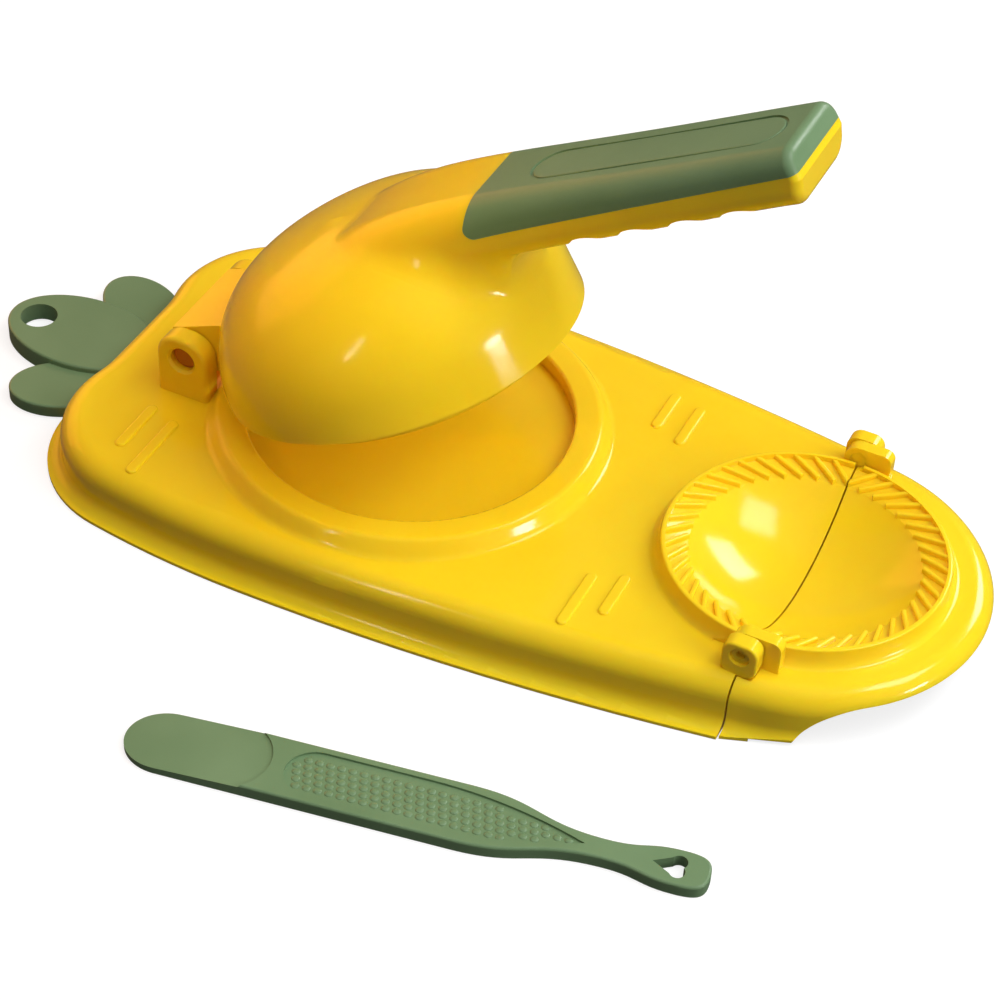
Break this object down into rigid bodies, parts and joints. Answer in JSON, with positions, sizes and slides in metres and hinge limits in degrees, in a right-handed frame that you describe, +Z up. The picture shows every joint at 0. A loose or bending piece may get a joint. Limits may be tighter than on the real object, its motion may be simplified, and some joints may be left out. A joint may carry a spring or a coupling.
{
  "type": "dumpling press",
  "caption": "Yellow plastic dumpling press: hinged dome with green grip over a dough well, fluted mould in the folding tip, leaf-shaped hanging tab, green filling spatula beside it.",
  "frame": {"origin": "on the table, under the axis of the round dough well", "axes": "+X along the base from the leaf tab to the folding tip, +Z up, +Y to the left seen along +X"},
  "size_m": [0.3554, 0.2387, 0.1748],
  "materials": {
    "yellow_plastic": "glossy",
    "green_plastic": "satin"
  },
  "bodies": {
    "base": {"base_shell": "yellow_plastic", "leaf_hanger": "green_plastic", "press_hinge_pin_near": "yellow_plastic", "press_hinge_pin_far": "yellow_plastic", "fold_hinge_pin_near": "yellow_plastic", "fold_hinge_pin_far": "yellow_plastic"},
    "press": {"press_dome": "yellow_plastic", "press_plate": "yellow_plastic", "handle_grip": "green_plastic"},
    "tip": {"folding_mould": "yellow_plastic"},
    "spatula": {"spatula": "green_plastic"}
  },
  "joints": [
    {"name": "press_hinge", "type": "hinge", "parent": "base", "child": "press", "pos_m": [-0.072, 0, 0.0332], "axis": [0, -1, 0], "range_deg": [-22.3, 72]},
    {"name": "fold_hinge", "type": "hinge", "parent": "base", "child": "tip", "pos_m": [0.139, 0, 0.0254], "axis": [0, -1, 0], "range_deg": [0, 180]},
    {"name": "spatula_lift", "type": "slide", "parent": "base", "child": "spatula", "axis": [0, 0, 1], "range_m": [0, 0.15]}
  ]
}
